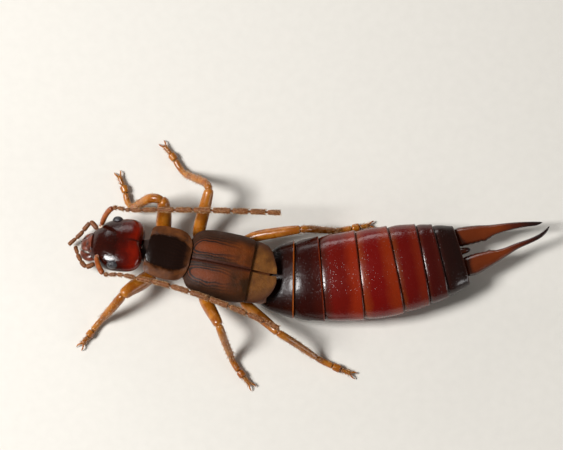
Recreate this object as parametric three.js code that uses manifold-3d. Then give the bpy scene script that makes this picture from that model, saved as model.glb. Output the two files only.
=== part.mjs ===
// Common earwig, an adult male, life size, standing on the floor in millimetres.
// The head points to -X, the forceps to +X, the back is up and the soles and belly rest on z = 0.
// Left is the side towards -Y. The plan of the body is a gentle curve, as the living animal held it.
import * as THREE from "three";
import { mergeVertices } from "three/addons/utils/BufferGeometryUtils.js";
import Module from "manifold-3d";

const wasm = await Module();
wasm.setup();

// Driving sizes, in millimetres
const seam = 0.1; // clear gap between pieces that meet face to face
const floor = 0;
const headLength = 2.3;
const headWidth = 2.42;
const headHeight = 1.15;
const headTurn = -3; // degrees that the head's long axis leans in plan
const headPitch = -9; // degrees that the face hangs below the nape
const headRoll = -20; // degrees that the crown leans to the animal's right
const headMiddle = new THREE.Vector3(-8.26, 0.65, 1.5);
const pronotumFront = -6.9;
const pronotumRear = -5.22;
const pronotumWidth = 2.2;
const elytraFront = -5.12;
const elytraRear = -2.72;
const elytraWidth = 2.85;
const wingTipRear = -1.62;
const shieldThickness = 0.5;
const wingTipThickness = 0.44;
const femurRadius = { fore: 0.33, mid: 0.28, hind: 0.25 };
const tibiaRadius = 0.23;
const tarsusRadius = 0.2;
const antennaRadius = 0.25;
const antennaNeckRadius = 0.18;
const palpRadius = 0.17;
const limbSides = 10;
const kneeRoom = 3.6; // times the seam: a knee bends sharply, so its two ends need more room
const coxaShare = 0.92; // of the thigh's thickness

// The middle line of the back seen from above, front to rear
const spine = new THREE.CatmullRomCurve3(
  [
    [-7.4, 0.55],
    [-6.13, 0.23],
    [-5.17, 0],
    [-2.75, -0.51],
    [-1.63, -0.7],
    [-0.6, -0.72],
    [0.6, -0.65],
    [2.31, -0.48],
    [4, -0.17],
    [5.08, 0.04],
    [6.08, 0.3],
    [7.1, 0.62],
  ].map(([x, y]) => new THREE.Vector3(x, y, 0)),
);

// Shell colours, for looking at the solids
const finish = (color, roughness = 0.35) =>
  new THREE.MeshStandardMaterial({ color, roughness, metalness: 0 });
const finishes = {
  head: finish(0x8c1f0c, 0.2),
  pronotum: finish(0x2a140c, 0.22),
  elytra: finish(0x8a5a1c, 0.3),
  wing: finish(0xc08a3c, 0.35),
  belly: finish(0x5a2412),
  abdomen: finish(0x6e1a0a, 0.25),
  forceps: finish(0x7a3410, 0.2),
  leg: finish(0xc9801f, 0.3),
  antenna: finish(0x9a6a48, 0.6),
  mouth: finish(0x6a2410),
  eye: finish(0x3c3f42, 0.25),
};

const group = new THREE.Group();

function addPiece(name, geometry, material) {
  const mesh = new THREE.Mesh(geometry, material);
  mesh.name = name;
  group.add(mesh);
  return mesh;
}

// Value read from a list of [place, value] pairs, eased between them
function along(pairs) {
  return (place) => {
    const last = pairs.length - 1;
    if (place <= pairs[0][0]) return pairs[0][1];
    if (place >= pairs[last][0]) return pairs[last][1];
    let i = 0;
    while (place > pairs[i + 1][0]) i += 1;
    const [from, a] = pairs[i];
    const [to, b] = pairs[i + 1];
    return THREE.MathUtils.lerp(a, b, (place - from) / (to - from));
  };
}

// A closed surface over rings of equal count, with a flat fan over each end
function skinOver(rings) {
  const sides = rings[0].length;
  const points = rings.flat();
  const faces = [];
  for (let r = 0; r < rings.length - 1; r += 1) {
    for (let k = 0; k < sides; k += 1) {
      const a = r * sides + k;
      const b = r * sides + ((k + 1) % sides);
      faces.push(a, b, a + sides);
      faces.push(b, b + sides, a + sides);
    }
  }
  const centreOf = (ring) =>
    ring
      .reduce((sum, p) => sum.add(p), new THREE.Vector3())
      .divideScalar(sides);
  const front = points.push(centreOf(rings[0])) - 1;
  const rear = points.push(centreOf(rings.at(-1))) - 1;
  const lastRing = (rings.length - 1) * sides;
  for (let k = 0; k < sides; k += 1) {
    const next = (k + 1) % sides;
    faces.push(front, next, k);
    faces.push(rear, lastRing + k, lastRing + next);
  }
  const geometry = new THREE.BufferGeometry().setFromPoints(points);
  geometry.setIndex(faces);
  geometry.computeVertexNormals();
  return geometry;
}

function solidFrom(geometry) {
  const plain = geometry.clone();
  plain.deleteAttribute("normal");
  plain.deleteAttribute("uv");
  const merged = mergeVertices(plain, 1e-4);
  return new wasm.Manifold(
    new wasm.Mesh({
      numProp: 3,
      vertProperties: merged.attributes.position.array,
      triVerts: new Uint32Array(merged.index.array),
    }),
  );
}

// Back to a geometry: only the largest closed surface stays
function geometryFrom(solid) {
  const bodies = solid.decompose().sort((a, b) => b.volume() - a.volume());
  const mesh = bodies[0].getMesh();
  const geometry = new THREE.BufferGeometry();
  geometry.setAttribute(
    "position",
    new THREE.BufferAttribute(new Float32Array(mesh.vertProperties), 3),
  );
  geometry.setIndex(new THREE.BufferAttribute(new Uint32Array(mesh.triVerts), 1));
  geometry.computeVertexNormals();
  return geometry;
}

const joined = (...geometries) =>
  geometryFrom(geometries.map(solidFrom).reduce((a, b) => a.add(b)));
const cutFrom = (geometry, tool) =>
  geometryFrom(solidFrom(geometry).subtract(solidFrom(tool)));

// Point on the middle line at a given x, with the level directions along and across the body there
function spineAt(x) {
  const halvings = 40;
  let low = 0;
  let high = 1;
  for (let i = 0; i < halvings; i += 1) {
    const middle = (low + high) / 2;
    if (spine.getPoint(middle).x < x) low = middle;
    else high = middle;
  }
  const ahead = spine.getTangent(low);
  return {
    point: spine.getPoint(low),
    ahead,
    across: new THREE.Vector3(-ahead.y, ahead.x, 0),
  };
}

// One cross ring of the trunk: an oval with its own top and bottom, flattened where it meets the floor
function trunkRing(x, halfWidth, top, bottom, sides) {
  const { point, across } = spineAt(x);
  const middle = (top + bottom) / 2;
  const halfHeight = (top - bottom) / 2;
  const ring = [];
  for (let k = 0; k < sides; k += 1) {
    const turn = (k / sides) * Math.PI * 2;
    const p = point.clone().addScaledVector(across, halfWidth * Math.cos(turn));
    p.z = Math.max(floor, middle + halfHeight * Math.sin(turn));
    ring.push(p);
  }
  return ring;
}

// A round or oval length of a limb between two distances along its curve
function limbLength(curve, from, to, radius, options = {}) {
  const { sides = limbSides, step = 0.3, flatten = 1, side = new THREE.Vector3(0, 0, 1) } = options;
  const total = curve.getLength();
  const count = Math.max(2, Math.ceil((to - from) / step));
  const rings = [];
  for (let i = 0; i <= count; i += 1) {
    const distance = THREE.MathUtils.lerp(from, to, i / count);
    const u = THREE.MathUtils.clamp(distance / total, 0, 1);
    const centre = curve.getPointAt(u);
    const ahead = curve.getTangentAt(u);
    const a = side.clone().addScaledVector(ahead, -side.dot(ahead)).normalize();
    const b = new THREE.Vector3().crossVectors(ahead, a);
    const r = radius(distance);
    const ring = [];
    for (let k = 0; k < sides; k += 1) {
      const turn = (k / sides) * Math.PI * 2;
      const p = centre.clone();
      p.addScaledVector(a, r * flatten * Math.cos(turn));
      p.addScaledVector(b, r * Math.sin(turn));
      p.z = Math.max(floor, p.z);
      ring.push(p);
    }
    rings.push(ring);
  }
  return skinOver(rings);
}

const curveThrough = (...points) =>
  new THREE.CatmullRomCurve3(
    points.map((p) => new THREE.Vector3(...p)),
    false,
    "centripetal",
  );

// Distance along a curve at which it passes nearest to its own point number i
function distanceTo(curve, i) {
  const target = curve.points[i];
  const total = curve.getLength();
  const samples = 400;
  let best = 0;
  for (let k = 0; k <= samples; k += 1) {
    const here = curve.getPointAt(k / samples).distanceTo(target);
    if (here < curve.getPointAt(best / samples).distanceTo(target)) best = k;
  }
  return (best / samples) * total;
}

// Head capsule: broad behind, narrowing to the front, with full cheeks and a shallow notch at the nape
function headRings(extra = 0) {
  const width = along([
    [-0.5, 0.36],
    [-0.4, 0.55],
    [-0.3, 0.7],
    [-0.12, 0.93],
    [0.05, 0.97],
    [0.25, 1],
    [0.4, 0.93],
    [0.48, 0.72],
    [0.5, 0.5],
  ]);
  const height = along([
    [-0.5, 0.42],
    [-0.35, 0.72],
    [-0.15, 0.95],
    [0.1, 1],
    [0.35, 0.93],
    [0.46, 0.75],
    [0.5, 0.5],
  ]);
  const sides = 20;
  const places = [-0.5, -0.42, -0.33, -0.2, -0.08, 0.08, 0.22, 0.34, 0.43, 0.48, 0.5];
  return places.map((place) => {
    const ring = [];
    const grown = place * (headLength + 2 * extra);
    for (let k = 0; k < sides; k += 1) {
      const turn = (k / sides) * Math.PI * 2;
      const y = (width(place) * headWidth * 0.5 + extra) * Math.cos(turn);
      const z = (height(place) * headHeight * 0.5 + extra) * Math.sin(turn);
      const notch = place > 0.42 ? 0.07 * Math.cos(turn * 2) : 0;
      ring.push(new THREE.Vector3(grown + notch, y, z));
    }
    return ring;
  });
}
const headPlace = new THREE.Matrix4()
  .makeTranslation(headMiddle)
  .multiply(new THREE.Matrix4().makeRotationZ(THREE.MathUtils.degToRad(headTurn)))
  .multiply(new THREE.Matrix4().makeRotationY(THREE.MathUtils.degToRad(headPitch)))
  .multiply(new THREE.Matrix4().makeRotationX(THREE.MathUtils.degToRad(headRoll)));
const onHead = (x, y, z) => new THREE.Vector3(x, y, z).applyMatrix4(headPlace);
const headSpace = (extra) => skinOver(headRings(extra)).applyMatrix4(headPlace);
addPiece("head", headSpace(0), finishes.head);

const at = (x, y, z) => new THREE.Vector3(x, y, z);

// Compound eyes: oval domes on the cheeks, each with its face towards the head left open by the seam
for (const [name, side] of [["eye_left", -1], ["eye_right", 1]]) {
  const ball = new THREE.SphereGeometry(1, 14, 10);
  ball.scale(0.26, 0.19, 0.24);
  ball.translate(-0.04, side * 1.04, 0.2);
  ball.applyMatrix4(headPlace);
  addPiece(name, cutFrom(ball, headSpace(seam)), finishes.eye);
}

// Upper lip, a rounded plate in front of the face
const lip = new THREE.SphereGeometry(1, 14, 8);
lip.scale(0.18, 0.36, 0.17);
lip.translate(-headLength / 2 - 0.18 - seam, 0, 0);
lip.applyMatrix4(headPlace);
addPiece("upper_lip", lip, finishes.mouth);

// Jaws, bent in below the lip
for (const [name, side] of [["mandible_left", -1], ["mandible_right", 1]]) {
  const curve = new THREE.CatmullRomCurve3([
    onHead(-1.24, side * 0.48, -0.24),
    onHead(-1.38, side * 0.43, -0.3),
    onHead(-1.52, side * 0.16, -0.34),
  ]);
  const total = curve.getLength();
  const radius = along([[0, 0.16], [total * 0.6, 0.12], [total, 0.05]]);
  addPiece(name, limbLength(curve, 0, total, radius, { step: 0.16, sides: 8 }), finishes.mouth);
}

// Palps: feelers of the mouth, each of three or four short joints, thinner where they meet
function palp(name, points, joints) {
  const curve = new THREE.CatmullRomCurve3(points, false, "centripetal");
  const total = curve.getLength();
  const radius = (distance) => {
    const wave = Math.abs(Math.sin((distance / total) * Math.PI * joints));
    const taper = THREE.MathUtils.lerp(1, 0.62, distance / total);
    return palpRadius * taper * (0.72 + 0.28 * wave);
  };
  addPiece(name, limbLength(curve, 0, total, radius, { step: 0.14, sides: 8 }), finishes.antenna);
}
palp(
  "maxillary_palp_right",
  [at(-8.95, 1.25, 0.78), at(-9.32, 1.7, 0.8), at(-9.79, 1.27, 0.56), at(-10.25, 0.88, 0.34)],
  4,
);
palp(
  "maxillary_palp_left",
  [at(-9.05, 0.02, 0.82), at(-9.52, -0.12, 0.76), at(-9.84, 0.3, 0.52), at(-10, 0.78, 0.32)],
  4,
);
for (const [name, side] of [["labial_palp_left", -1], ["labial_palp_right", 1]]) {
  const y = 0.62 + side * 0.22;
  palp(name, [at(-9, y, 0.66), at(-9.25, y + side * 0.06, 0.5), at(-9.44, y + side * 0.02, 0.32)], 3);
}

// Antennae: a long first joint from the socket and twelve shorter ones, thinner where they meet
function antenna(side, points) {
  const curve = new THREE.CatmullRomCurve3(points, false, "centripetal");
  const total = curve.getLength();
  const scapeEnd = distanceTo(curve, 1);
  const scape = (distance) =>
    THREE.MathUtils.lerp(0.17, 0.22, THREE.MathUtils.clamp(distance / scapeEnd, 0, 1));
  addPiece(
    "antenna_" + side + "_scape",
    limbLength(curve, 0, scapeEnd - seam / 2, scape, { step: 0.2 }),
    finishes.leg,
  );
  // Joint lengths grow towards the tip of the animal's feeler, from the second joint on
  const jointShares = [0.45, 0.55, 0.5, 0.85, 1, 1.1, 1.15, 1.2, 1.2, 1.15, 1.1, 1];
  const wholeShare = jointShares.reduce((sum, share) => sum + share);
  const run = total - scapeEnd;
  let start = scapeEnd + seam / 2;
  const lengths = [
    ["antenna_" + side + "_base", 0, 5],
    ["antenna_" + side + "_middle", 5, 9],
    ["antenna_" + side + "_tip", 9, 12],
  ];
  for (const [name, first, last] of lengths) {
    const pairs = [];
    let here = start;
    for (let j = first; j < last; j += 1) {
      const joint = (jointShares[j] / wholeShare) * (run - 0.2);
      const full = THREE.MathUtils.lerp(0.82, 1, Math.min(1, j / 5)) * antennaRadius;
      const end = j === 11 ? 0.6 : 1;
      pairs.push([here, antennaNeckRadius], [here + joint * 0.2, full]);
      pairs.push([here + joint * 0.8, full * end], [here + joint, antennaNeckRadius * end]);
      here += joint;
    }
    const rings = pairs.map(([distance]) => distance);
    addPiece(name, ringedLength(curve, rings, along(pairs)), finishes.antenna);
    start = here + seam;
  }
}

// Like limbLength, but with a ring at each of the given distances
function ringedLength(curve, distances, radius) {
  const total = curve.getLength();
  const up = new THREE.Vector3(0, 0, 1);
  const unique = distances.filter((d, i) => i === 0 || d - distances[i - 1] > 1e-3);
  return skinOver(
    unique.map((distance) => {
      const u = Math.min(1, distance / total);
      const centre = curve.getPointAt(u);
      const ahead = curve.getTangentAt(u);
      const a = up.clone().addScaledVector(ahead, -up.dot(ahead)).normalize();
      const b = new THREE.Vector3().crossVectors(ahead, a);
      const ring = [];
      for (let k = 0; k < limbSides; k += 1) {
        const turn = (k / limbSides) * Math.PI * 2;
        const p = centre.clone();
        p.addScaledVector(a, radius(distance) * Math.cos(turn));
        p.addScaledVector(b, radius(distance) * Math.sin(turn));
        ring.push(p);
      }
      return ring;
    }),
  );
}

antenna("right", [
  onHead(-0.78, 0.98, 0.32),
  at(-8.4, 2.05, 2.42),
  at(-7.7, 1.93, 2.68),
  at(-6.3, 1.9, 2.88),
  at(-4.79, 1.86, 3.02),
  at(-3.0, 1.8, 3.1),
  at(-1.42, 1.73, 3.12),
]);
antenna("left", [
  onHead(-0.84, -0.9, 0.3),
  at(-8.78, -0.7, 2.3),
  at(-8.1, -0.76, 2.52),
  at(-7.25, -0.95, 2.66),
  at(-5.92, -1.3, 2.8),
  at(-4.71, -1.72, 2.95),
  at(-3.0, -2.4, 3.05),
  at(-1.5, -3.1, 3.1),
]);

// Legs: each is one bent line from inside the trunk to the claws, parted at the hip, knee and ankle
const legs = {
  fore_right: {
    kind: "fore",
    points: [
      [-6.2, 0.35, 0.95],
      [-6.28, 1.08, 1.0],
      [-6.3, 1.62, 1.14],
      [-6.28, 2.16, 1.68],
      [-6.38, 2.46, 2.0],
      [-6.78, 2.56, 1.92],
      [-7.2, 2.5, 1.26],
      [-7.62, 2.46, 0.38],
      [-7.82, 2.68, 0.2],
      [-7.95, 3.2, 0.18],
      [-8.2, 3.82, 0.15],
    ],
  },
  mid_right: {
    kind: "mid",
    points: [
      [-4.75, 0.3, 0.85],
      [-4.88, 1.0, 0.9],
      [-4.8, 1.5, 1.08],
      [-4.5, 2.55, 1.78],
      [-4.42, 2.92, 1.93],
      [-4.52, 3.2, 1.75],
      [-4.98, 3.55, 1.08],
      [-5.45, 3.9, 0.36],
      [-5.62, 4.12, 0.2],
      [-5.92, 4.6, 0.18],
      [-6.3, 5.1, 0.15],
    ],
  },
  hind_right: {
    kind: "hind",
    points: [
      [-3.3, -0.1, 0.8],
      [-3.15, 0.66, 0.86],
      [-2.6, 1.04, 1.04],
      [-1.5, 1.22, 1.36],
      [-0.62, 1.32, 1.5],
      [-0.3, 1.36, 1.36],
      [0.25, 1.4, 0.9],
      [0.85, 1.45, 0.38],
      [1.1, 1.5, 0.2],
      [1.7, 1.62, 0.18],
      [2.3, 1.74, 0.15],
    ],
  },
  fore_left: {
    kind: "fore",
    points: [
      [-6.5, 0.15, 0.95],
      [-6.74, -0.42, 0.97],
      [-7.15, -0.78, 1.02],
      [-7.72, -1.2, 1.3],
      [-7.98, -1.42, 1.34],
      [-8.15, -1.6, 1.2],
      [-8.5, -1.95, 0.82],
      [-8.85, -2.25, 0.38],
      [-9.02, -2.42, 0.2],
      [-9.35, -2.85, 0.18],
      [-9.7, -3.3, 0.15],
    ],
  },
  mid_left: {
    kind: "mid",
    points: [
      [-4.6, -0.35, 0.85],
      [-4.66, -1.12, 0.92],
      [-4.55, -1.6, 1.12],
      [-4.15, -2.45, 1.78],
      [-4.0, -2.78, 1.92],
      [-3.9, -3.02, 1.75],
      [-3.72, -3.42, 1.08],
      [-3.5, -3.85, 0.36],
      [-3.4, -4.08, 0.2],
      [-3.08, -4.55, 0.18],
      [-2.7, -5.0, 0.15],
    ],
  },
  hind_left: {
    kind: "hind",
    points: [
      [-3.3, -0.8, 0.8],
      [-3.0, -1.62, 0.92],
      [-2.66, -1.98, 1.12],
      [-1.85, -2.75, 1.62],
      [-1.55, -3.05, 1.74],
      [-1.25, -3.22, 1.6],
      [-0.6, -3.55, 1.0],
      [0.05, -3.9, 0.38],
      [0.3, -4.02, 0.2],
      [0.9, -4.3, 0.18],
      [1.5, -4.55, 0.15],
    ],
  },
};
const hipPoint = 1;
const kneePoint = 4;
const anklePoint = 7;
const coxae = {};

for (const [name, { kind, points }] of Object.entries(legs)) {
  const curve = curveThrough(...points);
  const hip = distanceTo(curve, hipPoint);
  const knee = distanceTo(curve, kneePoint);
  const ankle = distanceTo(curve, anklePoint);
  const end = curve.getLength();
  const half = seam / 2;
  // The leg bends in one upright plane, and its joints are slightly flattened across that plane
  const [first, , , , top] = curve.points;
  const reach = curve.points.at(-1).clone().sub(first).add(top.clone().sub(first));
  const side = new THREE.Vector3(0, 0, 1).cross(reach).normalize();
  const thigh = femurRadius[kind];
  coxae[name] = limbLength(curve, 0, hip - half, () => thigh * coxaShare, { side, step: 0.2 });
  addPiece(
    "leg_" + name + "_femur",
    limbLength(
      curve,
      hip + half,
      knee - half * kneeRoom,
      along([[hip, thigh * 0.85], [hip + 0.5, thigh], [knee - 0.5, thigh * 0.9], [knee, thigh * 0.7]]),
      { side },
    ),
    finishes.leg,
  );
  addPiece(
    "leg_" + name + "_tibia",
    limbLength(
      curve,
      knee + half * kneeRoom,
      ankle - half,
      along([[knee, tibiaRadius * 0.9], [knee + 0.35, tibiaRadius], [ankle, tibiaRadius * 0.85]]),
      { side },
    ),
    finishes.leg,
  );
  // Tarsus of three joints, the second with its heart-shaped lobe, and two claws at the tip
  const foot = end - ankle;
  const pad = along([
    [ankle, 0.16],
    [ankle + foot * 0.25, tarsusRadius],
    [ankle + foot * 0.46, 0.15],
    [ankle + foot * 0.62, 0.23],
    [ankle + foot * 0.72, 0.14],
    [end, 0.16],
  ]);
  const tip = curve.points.at(-1);
  const ahead = curve.getTangentAt(1);
  const across = new THREE.Vector3(-ahead.y, ahead.x, 0).normalize();
  const claws = [-1, 1].map((hand) => {
    const claw = new THREE.CatmullRomCurve3([
      tip.clone().addScaledVector(ahead, -0.1).addScaledVector(across, hand * 0.03),
      tip.clone().addScaledVector(ahead, 0.12).addScaledVector(across, hand * 0.14),
      tip.clone().addScaledVector(ahead, 0.26).addScaledVector(across, hand * 0.12).setZ(0.05),
    ]);
    const length = claw.getLength();
    const radius = along([[0, 0.08], [length, 0.03]]);
    return limbLength(claw, 0, length, radius, { sides: 6, step: 0.2 });
  });
  addPiece(
    "leg_" + name + "_tarsus",
    joined(limbLength(curve, ankle + half, end, pad, { side, step: 0.14 }), ...claws),
    finishes.leg,
  );
}

// Trunk lengths: each is lofted over oval rings set on the middle line
function trunkLength(stations, sides = 18) {
  return skinOver(stations.map((station) => trunkRing(...station, sides)));
}

addPiece(
  "neck",
  trunkLength([
    [-7, 0.46, 1.58, 1.08],
    [-6.82, 0.5, 1.48, 1.02],
  ], 14),
  finishes.belly,
);
addPiece(
  "prothorax",
  joined(
    trunkLength([
      [-6.72, 0.56, 1.62, 0.9],
      [-6.45, 0.66, 1.66, 0.72],
      [-5.9, 0.7, 1.68, 0.66],
      [-5.4, 0.7, 1.6, 0.72],
    ]),
    coxae.fore_left,
    coxae.fore_right,
  ),
  finishes.belly,
);
addPiece(
  "hind_thorax",
  joined(
    trunkLength([
      [-5.25, 0.7, 1.58, 0.72],
      [-4.8, 0.84, 1.72, 0.6],
      [-3.6, 0.9, 1.74, 0.5],
      [-2.6, 0.98, 1.66, 0.45],
      [-2.15, 1.04, 1.6, 0.42],
    ]),
    coxae.mid_left,
    coxae.mid_right,
    coxae.hind_left,
    coxae.hind_right,
  ),
  finishes.belly,
);

// A domed plate across the back: it spans from one offset to another across the middle line
function backPlate(stations, thickness, columns) {
  return skinOver(
    stations.map(({ x, from, to, crown, edge, span, slant = 0 }) => {
      const upper = [];
      const lower = [];
      for (let k = 0; k <= columns; k += 1) {
        const offset = THREE.MathUtils.lerp(from, to, k / columns);
        const share = offset / span;
        const { point, across } = spineAt(x + slant * share * share);
        const p = point.clone().addScaledVector(across, offset);
        p.z = THREE.MathUtils.lerp(crown, edge, share * share);
        const rim = 1 - 0.35 * share * share;
        upper.push(p);
        lower.push(p.clone().setZ(p.z - thickness * rim));
      }
      return [...upper, ...lower.reverse()];
    }).map((ring) => ring.reverse()),
  );
}

// Pronotum: the shield behind the head, nearly square with rounded rear corners and thin side margins
const pronotumSpan = pronotumWidth / 2;
const pronotumStations = [
  [pronotumFront, 0.86, 2.12],
  [pronotumFront + 0.12, 0.92, 2.21],
  [-6.4, 0.97, 2.28],
  [-6.0, 1, 2.28],
  [-5.6, 0.98, 2.26],
  [-5.38, 0.86, 2.24],
  [pronotumRear, 0.6, 2.2],
].map(([x, share, crown]) => ({
  x,
  from: -share * pronotumSpan,
  to: share * pronotumSpan,
  crown,
  edge: 1.92,
  span: pronotumSpan,
}));
addPiece("pronotum", backPlate(pronotumStations, shieldThickness, 10), finishes.pronotum);

// Wing cases: short leathery plates that meet along the back, cut square behind
const elytraSpan = elytraWidth / 2;
for (const [name, side] of [["elytron_left", -1], ["elytron_right", 1]]) {
  const inner = seam / 2;
  const stations = [
    [elytraFront, 0.62, 2.24],
    [-4.98, 0.82, 2.3],
    [-4.6, 0.95, 2.36],
    [-4.0, 1, 2.38],
    [-3.3, 0.99, 2.36],
    [elytraRear, 0.93, 2.3],
  ].map(([x, share, crown]) => ({
    x,
    from: side < 0 ? -share * elytraSpan : inner,
    to: side < 0 ? -inner : share * elytraSpan,
    crown,
    edge: 1.9,
    span: elytraSpan,
  }));
  addPiece(name, backPlate(stations, shieldThickness, 6), finishes.elytra);
}

// Folded hind wings: only their leathery tips show behind the wing cases, each rounded at its outer rear
for (const [name, side] of [["wing_tip_left", -1], ["wing_tip_right", 1]]) {
  const inner = seam / 2 + 0.02;
  const stations = [
    [elytraRear + seam, 0.86, 2.26],
    [-2.3, 0.83, 2.24],
    [-2.0, 0.72, 2.2],
    [-1.78, 0.52, 2.16],
    [wingTipRear, 0.26, 2.12],
  ].map(([x, share, crown]) => ({
    x,
    from: side < 0 ? -share * elytraSpan : inner,
    to: side < 0 ? -inner : share * elytraSpan,
    crown,
    edge: 1.86,
    span: elytraSpan,
  }));
  addPiece(name, backPlate(stations, wingTipThickness, 6), finishes.wing);
}

// Abdomen: a row of rings, each slipped a little under the rear rim of the one before it
const abdomenWidth = along([
  [-2.05, 1.2],
  [-1.2, 1.52],
  [-0.4, 1.68],
  [1, 1.82],
  [2.6, 1.88],
  [3.6, 1.82],
  [4.6, 1.68],
  [5.4, 1.5],
  [6.08, 1.26],
]);
const abdomenTop = along([
  [-2.05, 1.52],
  [-1.55, 1.6],
  [-0.9, 1.9],
  [0.4, 2.02],
  [2.6, 2.1],
  [4, 2.02],
  [5.2, 1.84],
  [6.08, 1.52],
]);
const abdomenBottom = along([
  [-2.05, 0.42],
  [-0.6, 0.08],
  [0.6, -0.06],
  [3.8, -0.06],
  [5.0, 0.1],
  [6.08, 0.42],
]);
const ringEnds = [-2.05, -0.89, 0.25, 1.83, 3.33, 4.46, 5.2, 6.08];
const tuck = 0.045; // how far the front of a ring lies below the rim before it
for (let i = 0; i < ringEnds.length - 1; i += 1) {
  const from = ringEnds[i] + seam / 2;
  const to = ringEnds[i + 1] - seam / 2;
  const places = [0, 0.3, 0.65, 0.9, 1];
  const lift = [-tuck, 0, tuck * 0.4, tuck, tuck * 0.6];
  const stations = places.map((share, k) => {
    const x = THREE.MathUtils.lerp(from, to, share);
    return [x, abdomenWidth(x) + lift[k], abdomenTop(x) + lift[k], abdomenBottom(x)];
  });
  addPiece("abdomen_" + (i + 1), trunkLength(stations, 24), finishes.abdomen);
}

const lastEnd = ringEnds.at(-1);
// Forceps: broad flat roots, then slender arms that curve in to crossing tips
function forcep(name, rows) {
  const sides = 12;
  const rings = rows.map(([x, y, z, halfWidth, halfHeight], i) => {
    const [px, py] = rows[Math.max(0, i - 1)];
    const [nx, ny] = rows[Math.min(rows.length - 1, i + 1)];
    const ahead = new THREE.Vector3(nx - px, ny - py, 0).normalize();
    const across = i === 0 ? spineAt(lastEnd).across : new THREE.Vector3(-ahead.y, ahead.x, 0);
    const ring = [];
    for (let k = 0; k < sides; k += 1) {
      const turn = (k / sides) * Math.PI * 2;
      const p = at(x, y, z + halfHeight * Math.sin(turn));
      p.addScaledVector(across, halfWidth * Math.cos(turn));
      ring.push(p);
    }
    return ring;
  });
  addPiece(name, skinOver(rings), finishes.forceps);
}
// Pygidium: the small plate between the roots of the forceps
forcep("pygidium", [
  [6.1, 0.47, 0.95, 0.13, 0.22],
  [6.3, 0.53, 0.95, 0.12, 0.2],
  [6.46, 0.57, 0.95, 0.07, 0.12],
]);
forcep("forceps_right", [
  [5.96, 1.08, 0.95, 0.38, 0.32],
  [6.3, 1.15, 0.95, 0.39, 0.32],
  [6.8, 1.24, 0.96, 0.36, 0.31],
  [7.2, 1.3, 0.98, 0.3, 0.29],
  [7.5, 1.38, 1.0, 0.25, 0.26],
  [8.1, 1.51, 1.03, 0.2, 0.22],
  [8.7, 1.58, 1.06, 0.16, 0.18],
  [9.15, 1.62, 1.09, 0.12, 0.13],
  [9.45, 1.68, 1.12, 0.05, 0.06],
]);
forcep("forceps_left", [
  [6.33, -0.17, 0.95, 0.4, 0.32],
  [6.6, -0.06, 0.95, 0.42, 0.32],
  [7.1, 0.14, 0.96, 0.38, 0.31],
  [7.5, 0.24, 0.98, 0.3, 0.29],
  [7.95, 0.44, 1.0, 0.23, 0.25],
  [8.4, 0.68, 1.03, 0.18, 0.21],
  [8.96, 0.9, 1.06, 0.15, 0.17],
  [9.35, 1.08, 1.09, 0.13, 0.14],
  [9.62, 1.3, 1.12, 0.1, 0.11],
  [9.78, 1.52, 1.16, 0.04, 0.05],
]);

// The whole animal is centred over its own outline, so that the reference point lies under its middle
const whole = new THREE.Box3().setFromObject(group, true);
const middle = whole.getCenter(new THREE.Vector3());
group.position.set(-middle.x, -middle.y, -whole.min.z);

export default group;
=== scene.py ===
import functools
import math
import random

import bpy
from mathutils import Matrix, Vector


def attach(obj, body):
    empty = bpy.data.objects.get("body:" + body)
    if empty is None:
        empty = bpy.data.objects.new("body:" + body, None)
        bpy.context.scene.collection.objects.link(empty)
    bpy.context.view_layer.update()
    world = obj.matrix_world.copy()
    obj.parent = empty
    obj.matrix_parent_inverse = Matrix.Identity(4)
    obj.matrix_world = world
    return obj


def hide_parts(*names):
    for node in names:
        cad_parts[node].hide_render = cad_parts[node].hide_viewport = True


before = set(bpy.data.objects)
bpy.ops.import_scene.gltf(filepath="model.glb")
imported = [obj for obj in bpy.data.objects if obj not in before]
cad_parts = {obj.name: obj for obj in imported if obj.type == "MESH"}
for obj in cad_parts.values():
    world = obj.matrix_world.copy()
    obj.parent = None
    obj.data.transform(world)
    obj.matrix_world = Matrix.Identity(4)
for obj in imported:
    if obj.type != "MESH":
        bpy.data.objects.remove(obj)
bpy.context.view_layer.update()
random.seed(11)

# Thorax, the middle of the trunk under the back shields. It is brown shell, soft at the sides,
# moulted in one skin with the sockets of the six legs. Lengths are millimetres on a plan that has the
# head to -X, the animal's right to +Y and the floor at zero.
mm = 0.001
plan_shift = Vector((0.2434, -0.0515, 0.0))  # sets the middle of the whole outline over the origin
up = Vector((0, 0, 1))


def to_frame(p):
    """A point of the plan in metres in the shared frame."""
    return (Vector(p) + plan_shift) * mm


def smooth(pairs):
    """A rounded line through pairs of place and value, level beyond both ends."""
    places = [p for p, _ in pairs]
    values = [v for _, v in pairs]
    last = len(pairs) - 1
    steps = [(values[i + 1] - values[i]) / (places[i + 1] - places[i]) for i in range(last)]
    slopes = [steps[0]]
    for i in range(1, last):
        same_way = steps[i - 1] * steps[i] > 0
        slopes.append(2 * steps[i - 1] * steps[i] / (steps[i - 1] + steps[i]) if same_way else 0.0)
    slopes.append(steps[-1])

    def value(place):
        place = min(max(place, places[0]), places[-1])
        i = 0
        while i < last - 1 and place > places[i + 1]:
            i += 1
        span = places[i + 1] - places[i]
        t = (place - places[i]) / span
        start = (1 + 2 * t) * (1 - t) ** 2 * values[i] + t * (1 - t) ** 2 * span * slopes[i]
        end = t * t * (3 - 2 * t) * values[i + 1] + t * t * (t - 1) * span * slopes[i + 1]
        return start + end

    return value


def shapes(rows):
    """One rounded line for each column after the first, which holds the places."""
    return [smooth([(row[0], row[c]) for row in rows]) for c in range(1, len(rows[0]))]


back_line = smooth([
    (-7.4, 0.55), (-6.13, 0.23), (-5.17, 0.0), (-2.75, -0.51), (-1.63, -0.7), (-0.6, -0.72),
    (0.6, -0.65), (2.31, -0.48), (4.0, -0.17), (5.08, 0.04), (6.08, 0.3), (7.1, 0.62),
])


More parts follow.
